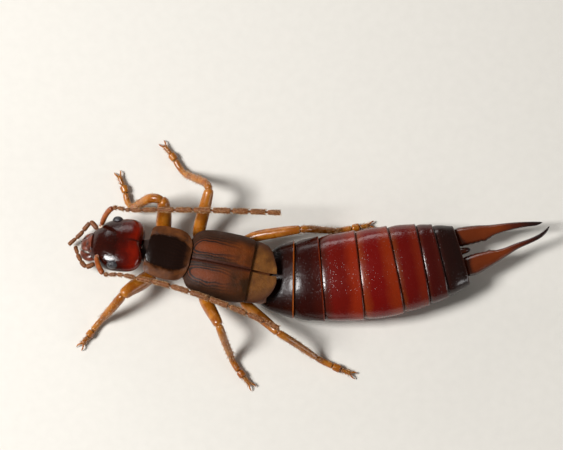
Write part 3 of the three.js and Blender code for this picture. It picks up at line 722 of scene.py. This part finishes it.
def head_paint(add, place, drift):
    """Dark front and crown, clear red-orange to the rear and cheeks, with clouded edges between."""
    way = add("SeparateXYZ", {"Vector": place.outputs["UV"]})
    along = wandering(add, way.outputs["Y"], drift, 0.26)
    stops = [
        (0.04, "#4a180a"), (0.17, "#2c0a04"), (0.52, "#260501"), (0.68, "#4c0801"), (0.82, "#7c1401"),
        (0.96, "#6c1001"),
    ]
    tones = add("ValToRGB", {"Fac": along, "stops": stops})
    off_top = add("Math SUBTRACT", {0: way.outputs["X"], 1: 0.25})
    off = add("Math ABSOLUTE", {0: off_top})
    narrow = add("MapRange", {"Value": off, "From Min": 0.008, "From Max": 0.002})
    late = add("MapRange", {"Value": way.outputs["Y"], "From Min": 0.6, "From Max": 0.7})
    seam = add("Math MULTIPLY", {0: narrow, 1: late})
    return add("MixRGB", {"Fac": seam, "Color1": tones, "Color2": "#3a0a04"}), drift


# Lacquered shell with the sharpest highlight of the animal and a red glow behind
head_shell = make_finish(
    "Polished red cuticle of the head", (0.12, 0.17),
    {
        "IOR": 1.5, "Specular IOR Level": 0.36, "Coat Weight": 0.06, "Coat Roughness": 0.06,
        **glow(0.12, (1.0, 0.2, 0.05), 0.3),
    },
    (0.4, 4.0), head_paint, grain(0.1, 0.01),
)
dress(skin("head_capsule", rings), head_shell, "head_shell", "head")

# Compound eyes, dark grey domes of many small lenses of clear shell, grown into the cheeks. The lenses
# are about half as coarse again as in life, so that they show.
lens_size, lens_height = 0.045, 0.012


def lenses(add, place):
    """A dome for each lens."""
    cells = add("TexVoronoi", {
        "Vector": place.outputs["Object"], "Scale": 1 / (lens_size * mm), "Randomness": 0.15,
    })
    dome = add("MapRange", {"Value": cells, "From Max": 0.7, "To Min": 1.0, "To Max": 0.0})
    return dome, lens_height


# Blue-grey beads that break the light into small points
eye_lens = make_finish(
    "Grey-black lens cuticle of the eyes", (0.25, 0.4),
    {"IOR": 1.5, "Coat Weight": 0.3, "Coat Roughness": 0.2},
    (0.2, 2.0), mottled("#1c1c20", "#3e3e42"), lenses,
)
eye_middle = Vector((-0.02, 1.06, 0.22))
eye_reach = Vector((0.23, 0.17, 0.21))
eye_steps, eye_sides = 32, 40
for name, side in (("eye_left", -1), ("eye_right", 1)):
    rings = []
    for i in range(eye_steps + 1):
        lean = math.pi * i / eye_steps
        x = eye_middle.x - eye_reach.x * math.cos(lean)
        wide, high = eye_reach.y * math.sin(lean), eye_reach.z * math.sin(lean)
        rings.append([
            on_head(x, side * eye_middle.y + wide * c, eye_middle.z + high * s) for c, s in around(eye_sides)
        ])
    dress(skin(name + "_lenses", rings), eye_lens, "eye", name)

# Mouth: a face plate, an upper lip and two dark jaws bent in below it. All are hard, dark shell, and
# the lip and the jaws are hinged to the front of the head.
def centripetal(points, steps=24):
    """A smooth line through points, as a list of samples with their distance along it."""
    points = [Vector(p) for p in points]
    ends = [points[0] * 2 - points[1], *points, points[-1] * 2 - points[-2]]
    samples = []
    for i in range(len(points) - 1):
        p0, p1, p2, p3 = ends[i:i + 4]
        d0, d1, d2 = ((b - a).length ** 0.5 for a, b in ((p0, p1), (p1, p2), (p2, p3)))
        m1 = ((p1 - p0) / d0 - (p2 - p0) / (d0 + d1) + (p2 - p1) / d1) * d1
        m2 = ((p2 - p1) / d1 - (p3 - p1) / (d1 + d2) + (p3 - p2) / d2) * d1
        for k in range(steps):
            t = k / steps
            samples.append(
                p1 * (2 * t ** 3 - 3 * t ** 2 + 1) + m1 * (t ** 3 - 2 * t ** 2 + t)
                + p2 * (3 * t ** 2 - 2 * t ** 3) + m2 * (t ** 3 - t ** 2)
            )
    samples.append(points[-1])
    distances = [0.0]
    for a, b in zip(samples, samples[1:]):
        distances.append(distances[-1] + (b - a).length)
    return samples, distances


def distance_at(line, point):
    """Distance along a line at its sample nearest to a point."""
    samples, distances = line
    return distances[min(range(len(samples)), key=lambda i: (samples[i] - Vector(point)).length)]


def along_line(line, distance):
    """Point and direction on a line at a distance from its start; past an end it runs on straight."""
    samples, distances = line
    i = 0
    while i < len(samples) - 2 and distances[i + 1] < distance:
        i += 1
    t = (distance - distances[i]) / (distances[i + 1] - distances[i])
    point = samples[i] + (samples[i + 1] - samples[i]) * t
    before = samples[max(0, i - 1)]
    after = samples[min(len(samples) - 1, i + 2)]
    return point, (after - before).normalized()


def limb_rings(line, start, end, radius, side, sides=20, flat=1.0, count=24, start_dome=0.0, end_dome=0.0):
    """Rings round a line from start to end, flattened towards side, with each end drawn in to a dome."""
    least_draw = 0.12
    rings = []
    for distance in spaced(start, end, count):
        draw = 1.0
        for gap, dome in ((distance - start, start_dome), (end - distance, end_dome)):
            if dome and gap < dome:
                draw *= max(least_draw, math.sqrt(max(0.0, 1 - (1 - gap / dome) ** 2)))
        point, ahead = along_line(line, distance)
        a = (side - ahead * side.dot(ahead)).normalized()
        b = ahead.cross(a)
        reach = radius(distance) * draw
        ring = [point + a * (reach * flat * c) + b * (reach * s) for c, s in around(sides)]
        for p in ring:
            p.z = max(0.0, p.z)
        rings.append(ring)
    return rings


# Dark and hard, with small glints at the edges of lip and jaws
jaw_shell = make_finish(
    "Dark red-brown cuticle of the mouthparts", (0.24, 0.42),
    {"IOR": 1.52, "Coat Weight": 0.15, "Coat Roughness": 0.15},
    (0.25, 2.0), mottled("#2c0c06", "#6e2a0e"), grain(0.06, 0.008),
)
head_up = head_turn @ up
line = centripetal([on_head(-0.92, 0, 0.16), on_head(-1.06, 0, 0.11), on_head(-1.19, 0, 0.05)])
rings = limb_rings(
    line, 0, line[1][-1], lambda d: 0.48 - 0.35 * d, head_up, sides=32, flat=0.45, count=16,
    start_dome=0.02, end_dome=0.06,
)
dress(skin("face_plate", rings), jaw_shell, "jaw")
line = centripetal([on_head(-1.12, 0, 0.02), on_head(-1.32, 0, -0.02), on_head(-1.5, 0, -0.09)])
reach = line[1][-1]
rings = limb_rings(
    line, 0, reach, lambda d: 0.33 - 0.1 * d / reach, head_up, sides=32, flat=0.38,
    start_dome=0.03, end_dome=0.16,
)
dress(skin("upper_lip_plate", rings), jaw_shell, "jaw", "upper_lip")
for name, side in (("mandible_left", -1), ("mandible_right", 1)):
    line = centripetal([
        on_head(-0.9, side * 0.44, -0.16), on_head(-1.16, side * 0.47, -0.22),
        on_head(-1.38, side * 0.36, -0.27), on_head(-1.52, side * 0.12, -0.3),
    ])
    reach = line[1][-1]
    thick = smooth([(0, 0.2), (reach * 0.5, 0.16), (reach, 0.06)])
    rings = limb_rings(line, 0, reach, thick, up, flat=0.8, start_dome=0.05, end_dome=0.08)
    dress(skin(name + "_jaw", rings), jaw_shell, "jaw", name)

# Feelers: the palps of the mouth and the two antennae, strings of small dull-brown joints with soft
# skin between them, clothed in short fine hairs. Each antenna stands in a ball socket of pale skin,
# whose white is partly a painted highlight.
# Dull golden brown that lets the pale hairs show
feeler_shell = make_finish(
    "Dull brown cuticle of the feelers", (0.42, 0.6), {"IOR": 1.5, "Specular IOR Level": 0.35},
    (0.15, 3.0), mottled("#5c3011", "#80481c", 0.2), grain(0.04, 0.01),
)
# Brighter and redder than the joints beyond, with one glint along it
scape_shell = make_finish(
    "Glossy red-brown cuticle of the scapes", (0.22, 0.36),
    {"IOR": 1.52, "Coat Weight": 0.1, "Coat Roughness": 0.12},
    (0.3, 2.0), mottled("#743009", "#9c4e10"), grain(0.06, 0.006),
)
bristles = {"feeler": [], "leg": []}
rooted = 0.95  # share of the joint's radius at which its hairs start
core_share = 0.6  # thickness of the soft skin, as a share of the thinnest joint's


def plant_hair(slot, line, side, distance, radius, flat, lean, lengths, thick):
    """A hair at a distance along a limb and at any turn round it. It leans forward by lean to one part out,
    and its length lies between two lengths."""
    turn = random.random() * 2 * math.pi
    point, ahead = along_line(line, distance)
    a = (side - ahead * side.dot(ahead)).normalized()
    out = a * math.cos(turn) * flat + ahead.cross(a) * math.sin(turn)
    bristles[slot].append((
        point + out * radius, (out + ahead * lean).normalized(), random.uniform(*lengths), thick,
        (turn / (2 * math.pi), distance / line[1][-1]),
    ))


def beads(name, line, joints, radii, side, slot, nodes, finish, hairs_per_mm=0):
    """A string of joints: each runs from start to end, domed at both, with soft skin through them all."""
    core = min(radii) * core_share
    tubes = [limb_rings(line, joints[0][0], joints[-1][1] - core, lambda d: core, side, sides=10, count=40)]
    for (start, end), radius in zip(joints, radii):
        run = end - start
        dome = min(0.05, run * 0.25)
        swell = smooth([(start, 0.86), (start + run * 0.25, 0.97), (start + run * 0.8, 1.02), (end, 0.96)])
        tubes.append(limb_rings(
            line, start, end, lambda d: swell(d) * radius, side, sides=16, count=16,
            start_dome=dome, end_dome=dome,
        ))
        for _ in range(int(run * hairs_per_mm)):
            d = start + run * random.random()
            plant_hair(
                slot, line, side, d, radius * swell(d) * rooted, flat=1.0, lean=1 / 0.6,
                lengths=(0.05, 0.11), thick=0.0065,
            )
    return dress(skin(name, *tubes), finish, slot, *nodes)


palps = {
    "maxillary_palp_right": [
        (-8.8, 1.1, 0.92), (-9.1, 1.48, 0.84), (-9.34, 1.72, 0.8), (-9.79, 1.28, 0.56), (-10.3, 0.86, 0.34),
    ],
    "maxillary_palp_left": [
        (-8.85, 0.2, 0.9), (-9.2, -0.02, 0.84), (-9.54, -0.12, 0.76), (-9.84, 0.3, 0.52),
        (-10.02, 0.82, 0.32),
    ],
    "labial_palp_left": [(-8.8, 0.42, 0.84), (-9.0, 0.4, 0.66), (-9.25, 0.34, 0.5), (-9.46, 0.38, 0.32)],
    "labial_palp_right": [(-8.8, 0.8, 0.8), (-9.0, 0.84, 0.66), (-9.25, 0.9, 0.5), (-9.46, 0.86, 0.32)],
}
half_gap = 0.01
for name, points in palps.items():
    line = centripetal(points)
    reach = line[1][-1]
    count = 5 if name.startswith("maxillary") else 3
    joints = [(reach * i / count + half_gap, reach * (i + 1) / count - half_gap) for i in range(count)]
    radii = [0.112 - 0.007 * i for i in range(count)]
    beads(name + "_joints", line, joints, radii, up, "feeler", [name], feeler_shell, 40)

# Pale skin at the foot of each antenna, painted white partly as a highlight dot
socket_skin_and_glint = make_finish(
    "White ball skin of the antenna sockets", (0.3, 0.45), {"IOR": 1.45, **glow(0.3, (0.6, 0.5, 0.4), 0.1)},
    (0.1, 2.0), mottled("#c4b09c", "#dccdbd"), grain(0.05, 0.006),
)
for name, side in (("left", -1), ("right", 1)):
    line = centripetal([
        on_head(-0.6, side * 0.66, 0.1), on_head(-0.67, side * 0.73, 0.21), on_head(-0.7, side * 0.79, 0.3),
    ])
    rings = limb_rings(line, 0.0, line[1][-1], lambda d: 0.135, up, count=16, end_dome=0.09)
    dress(skin("antenna_%s_socket" % name, rings), socket_skin_and_glint, "feeler")

antennae = {
    "right": [
        on_head(-0.66, 0.72, 0.2), on_head(-0.66, 0.8, 0.32), (-8.4, 2.05, 2.42), (-7.7, 1.93, 2.68),
        (-6.3, 1.9, 2.88), (-4.79, 1.86, 3.02), (-3.0, 1.8, 3.1), (-1.42, 1.73, 3.12),
    ],
    "left": [
        on_head(-0.66, -0.72, 0.2), on_head(-0.7, -0.8, 0.32), (-8.78, -0.66, 2.26), (-8.1, -0.76, 2.52),
        (-7.25, -0.95, 2.66), (-5.92, -1.3, 2.8), (-4.71, -1.72, 2.95), (-3.0, -2.4, 3.05), (-1.5, -3.1, 3.1),
    ],
}
# Lengths and radii of the joints from the second one out
joint_lengths = [0.16, 0.27, 0.19, 0.41, 0.55, 0.68, 0.69, 0.71, 0.75, 0.67, 0.64, 0.56]
joint_radii = [0.09, 0.082, 0.082, 0.088, 0.096, 0.104, 0.11, 0.113, 0.115, 0.115, 0.112, 0.106]
joint_gap = 0.06
for name, points in antennae.items():
    line = centripetal(points)
    elbow = distance_at(line, points[2])
    scape, *beyond = ["antenna_%s_%s" % (name, part) for part in ("scape", "base", "middle", "tip")]
    beads(
        scape + "_joint", line, [(0.0, 0.12), (0.16, elbow)], [0.108, 0.112], up, "feeler", [scape],
        scape_shell, 30,
    )
    joints = []
    here = elbow + 0.05
    stretch = (line[1][-1] - here) / (sum(joint_lengths) + joint_gap * (len(joint_lengths) - 1))
    for length in joint_lengths:
        joints.append((here, here + length * stretch))
        here += (length + joint_gap) * stretch
    beads("antenna_%s_lash" % name, line, joints, joint_radii, up, "feeler", beyond, feeler_shell, 260)

# Legs of amber shell so clear that it glows. From the body out each has a coxa, a hip ring, a thigh, a
# shin and a foot of three joints, the middle one broad, with two hooked claws. Soft skin joins them.
legs = {
    "fore_right": [
        (-6.2, 0.35, 0.95), (-6.28, 1.08, 1.0), (-6.3, 1.62, 1.14), (-6.28, 2.16, 1.68), (-6.38, 2.46, 2.0),
        (-6.78, 2.56, 1.92), (-7.2, 2.5, 1.26), (-7.62, 2.46, 0.38), (-7.82, 2.68, 0.2), (-7.95, 3.2, 0.18),
        (-8.2, 3.82, 0.15),
    ],
    "mid_right": [
        (-4.75, 0.3, 0.85), (-4.88, 1.0, 0.9), (-4.8, 1.5, 1.08), (-4.5, 2.55, 1.78), (-4.42, 2.92, 1.93),
        (-4.52, 3.2, 1.75), (-4.98, 3.55, 1.08), (-5.45, 3.9, 0.36), (-5.62, 4.12, 0.2), (-5.92, 4.6, 0.18),
        (-6.3, 5.1, 0.15),
    ],
    "hind_right": [
        (-3.3, -0.1, 0.8), (-3.15, 0.66, 0.86), (-2.6, 1.04, 1.04), (-1.5, 1.22, 1.36), (-0.62, 1.32, 1.5),
        (-0.3, 1.36, 1.36), (0.25, 1.4, 0.9), (0.85, 1.45, 0.38), (1.1, 1.5, 0.2), (1.7, 1.62, 0.18),
        (2.3, 1.74, 0.15),
    ],
    "fore_left": [
        (-6.5, 0.15, 0.95), (-6.74, -0.42, 0.97), (-7.15, -0.78, 1.02), (-7.72, -1.2, 1.3),
        (-7.98, -1.42, 1.34), (-8.15, -1.6, 1.2), (-8.5, -1.95, 0.82), (-8.85, -2.25, 0.38),
        (-9.02, -2.42, 0.2), (-9.35, -2.85, 0.18), (-9.7, -3.3, 0.15),
    ],
    "mid_left": [
        (-4.6, -0.35, 0.85), (-4.66, -1.12, 0.92), (-4.55, -1.6, 1.12), (-4.15, -2.45, 1.78),
        (-4.0, -2.78, 1.92), (-3.9, -3.02, 1.75), (-3.72, -3.42, 1.08), (-3.5, -3.85, 0.36),
        (-3.4, -4.08, 0.2), (-3.08, -4.55, 0.18), (-2.7, -5.0, 0.15),
    ],
    "hind_left": [
        (-3.3, -0.8, 0.8), (-3.0, -1.62, 0.92), (-2.66, -1.98, 1.12), (-1.85, -2.75, 1.62),
        (-1.55, -3.05, 1.74), (-1.25, -3.22, 1.6), (-0.6, -3.55, 1.0), (0.05, -3.9, 0.38), (0.3, -4.02, 0.2),
        (0.9, -4.3, 0.18), (1.5, -4.55, 0.15),
    ],
}
hip_point, knee_point, ankle_point = 1, 4, 7  # which of a leg's points these are
thigh_radius = {"fore": 0.335, "mid": 0.28, "hind": 0.24}
shin_radius = {"fore": 0.2, "mid": 0.175, "hind": 0.165}
# Clear amber that takes light in and keeps a wet glint on top
leg_shell = make_finish(
    "Clear amber cuticle of the legs", (0.2, 0.36),
    {"IOR": 1.52, "Coat Weight": 0.2, "Coat Roughness": 0.12, **glow(0.35, (1.0, 0.5, 0.12), 0.3)},
    (0.5, 2.0), mottled("#8c4c0c", "#ac6a18"), grain(0.08, 0.008),
)
for name, points in legs.items():
    kind = name.split("_")[0]
    line = centripetal(points)
    hip, knee, ankle = (distance_at(line, points[i]) for i in (hip_point, knee_point, ankle_point))
    end = line[1][-1]
    root, top, toe = Vector(points[0]), Vector(points[knee_point]), Vector(points[-1])
    side = up.cross((toe - root) + (top - root)).normalized()
    thick, thin = thigh_radius[kind], shin_radius[kind]
    coxa_shape = smooth([(0, thick * 0.95), (hip, thick * 0.8)])
    coxa = limb_rings(line, -0.1, hip - 0.06, coxa_shape, side, sides=24, count=16, end_dome=0.12)
    dress(skin("leg_%s_coxa" % name, coxa), leg_shell, "leg")
    ring = limb_rings(
        line, hip - 0.12, hip + 0.1, lambda d: thick * 0.62, side, count=10, start_dome=0.06, end_dome=0.06,
    )
    dress(skin("leg_%s_hip_ring" % name, ring), leg_shell, "leg")
    thigh_shape = smooth([
        (hip, thick * 0.7), (hip + 0.25, thick * 0.92), (hip + 0.6, thick), ((hip + knee) / 2, thick * 0.98),
        (knee - 0.3, thick * 0.84), (knee + 0.03, thick * 0.72),
    ])
    thigh = limb_rings(
        line, hip, knee + 0.05, thigh_shape, side, sides=32, flat=0.96, count=36,
        start_dome=0.14, end_dome=0.14,
    )
    dress(skin("leg_%s_thigh" % name, thigh), leg_shell, "leg", "leg_%s_femur" % name)
    shin_shape = smooth([
        (knee, thin * 0.85), (knee + 0.2, thin), (knee + 0.6, thin * 0.98), (ankle - 0.2, thin * 0.85),
        (ankle, thin * 0.8),
    ])
    shin = limb_rings(
        line, knee - 0.04, ankle, shin_shape, side, sides=28, flat=0.95, count=32,
        start_dome=0.1, end_dome=0.08,
    )
    dress(skin("leg_%s_shin" % name, shin), leg_shell, "leg", "leg_%s_tibia" % name)
    run = end - ankle
    middle, rear = ankle + run * 0.5, ankle + run * 0.72
    joints = [(ankle - 0.03, middle), (middle, rear), (rear - run * 0.01, end)]
    beads(
        "leg_%s_foot" % name, line, joints, [0.13, 0.165, 0.09], side, "leg", ["leg_%s_tarsus" % name],
        leg_shell,
    )
    tip, ahead = along_line(line, end)
    across = Vector((-ahead.y, ahead.x, 0)).normalized()
    for letter, hand in (("a", -1), ("b", 1)):
        claw = centripetal([
            tip - ahead * 0.05 + across * hand * 0.02, tip + ahead * 0.12 + across * hand * 0.12 + up * 0.02,
            tip + ahead * 0.24 + across * hand * 0.13 - up * 0.1,
        ])
        reach = claw[1][-1]
        hook = smooth([(0, 0.045), (reach * 0.6, 0.03), (reach, 0.008)])
        rings = limb_rings(claw, 0, reach, hook, up, sides=10, count=14)
        dress(skin("leg_%s_claw_%s" % (name, letter), rings), leg_shell, "leg")
    # Hairs stand thinly along the thigh and closer on the shin and foot. Each row: where they start and
    # end, the limb's radius, their number and their usual length
    for start, stop, radius, number, length in (
        (hip + 0.2, knee, thick * 0.85, 80, 0.11), (knee, ankle, thin * 0.9, 220, 0.15),
        (ankle, end, 0.1, 220, 0.14),
    ):
        for _ in range(number):
            d = random.uniform(start, stop)
            plant_hair(
                "leg", line, side, d, radius * 0.9, flat=0.85, lean=0.8,
                lengths=(0.6 * length, 1.1 * length), thick=0.009,
            )

# Hairs, stiff fine bristles that grow from sockets in the shell, straw-coloured and a little bent
# towards the tip. Each is a thin three-sided cone, thicker than life so that it shows.
# Pale against the shell, with a dry shine
straw = make_finish(
    "Straw-coloured bristle", (0.35, 0.55), {"IOR": 1.55},
    (0.1, 2.0), mottled("#9a6c40", "#d0a678"), grain(0.1, 0.001, 2.0, 0.5),
)
bend_place, bend_thickness, droop = 0.55, 0.7, 0.12  # shares of a hair's length and thickness
patch_reach, patch_turn = 0.0015, 2.1  # each hair's small patch of the map, spread round its root's place
corners_each = 3 * (4 + 3) + 3
for slot, roots in bristles.items():
    points, faces, corners = [], [], []
    for root, out, length, thick, patch in roots:
        base = len(points)
        a = out.orthogonal().normalized()
        b = out.cross(a)
        for centre, radius in ((root, thick), (root + out * length * bend_place, thick * bend_thickness)):
            points += [centre + (a * c + b * s) * radius for c, s in around(3)]
        points.append(root + out * length - up * droop * length)
        for k in range(3):
            n = (k + 1) % 3
            faces.append((base + k, base + n, base + 3 + n, base + 3 + k))
            faces.append((base + 3 + k, base + 3 + n, base + 6))
        faces.append((base + 2, base + 1, base))
        corners += [patch] * corners_each
    for p in points:
        p.z = max(0.0, p.z)
    spread = [
        (u + patch_reach * math.cos(i * patch_turn), v + patch_reach * math.sin(i * patch_turn))
        for i, (u, v) in enumerate(corners)
    ]
    dress(build(slot + "_hairs", points, faces, spread, "OFBake"), straw, slot)

# Stage: a plain pale floor of matt board, a soft box above the head, and two low strips, one beyond the
# right side and one behind the tail. Pale air all round fills the shadows.
floor_reach, floor_drop = 1500, 0.01
corners = [(-1, -1), (1, -1), (1, 1), (-1, 1)]
floor = build(
    "floor", [(x * floor_reach, y * floor_reach, -floor_drop) for x, y in corners], [(0, 1, 2, 3)], corners,
)
# Dull and nearly even, so that only the shadows show on it
board = make_finish(
    "Pale matt board", (0.78, 0.82), {}, (0.4, 3.0), mottled("#e0dcd4", "#e3dfd7", 0.2),
    grain(0.4, 0.0004, 3.0, 0.5),
)
floor.data.materials.append(board)

world = bpy.data.worlds.new("Pale air")
world.use_nodes = True
air = world.node_tree.nodes["Background"]
air.inputs["Color"].default_value = hex_colour("#ece8e2")
air.inputs["Strength"].default_value = 0.13
bpy.context.scene.world = world
bpy.context.scene.view_settings.view_transform = "Standard"

subject = to_frame((-1.396, 1.566, 1.15))
# Each lamp: direction from the animal, distance, width and height in metres, and power in watts
for name, direction, distance, size, power in (
    ("Key box", (-0.85, -0.06, 1.0), 0.12, (0.035, 0.035), 0.185),
    ("Far strip", (-0.3, 1.0, 0.3), 0.16, (0.09, 0.03), 0.04),
    ("Tail strip", (1.0, -0.5, 0.3), 0.16, (0.09, 0.03), 0.05),
):
    lamp = bpy.data.lights.new(name, "AREA")
    lamp.shape = "RECTANGLE"
    lamp.size, lamp.size_y = size
    lamp.energy = power
    light = bpy.data.objects.new(name, lamp)
    aim = Vector(direction).normalized()
    light.location = subject + aim * distance
    light.rotation_euler = aim.to_track_quat("Z", "Y").to_euler()
    bpy.context.collection.objects.link(light)

# Camera: a long lens that looks down at the whole animal, leaning a little to its left side, so that
# the picture has hardly any perspective.
camera_data = bpy.data.cameras.new("Long lens")
camera = bpy.data.objects.new("Long lens", camera_data)
elevation, distance = math.radians(80), 0.24
picture_width, pixels_per_mm = 563, 24
camera_data.sensor_width = 36
camera_data.lens = camera_data.sensor_width * distance / mm * pixels_per_mm / picture_width
camera_data.clip_start = 0.001
camera_data.clip_end = 10
aim = Vector((0, -math.cos(elevation), math.sin(elevation)))
camera.location = subject + aim * distance
camera.rotation_euler = aim.to_track_quat("Z", "Y").to_euler()
bpy.context.collection.objects.link(camera)
bpy.context.scene.camera = camera

bpy.context.view_layer.update()
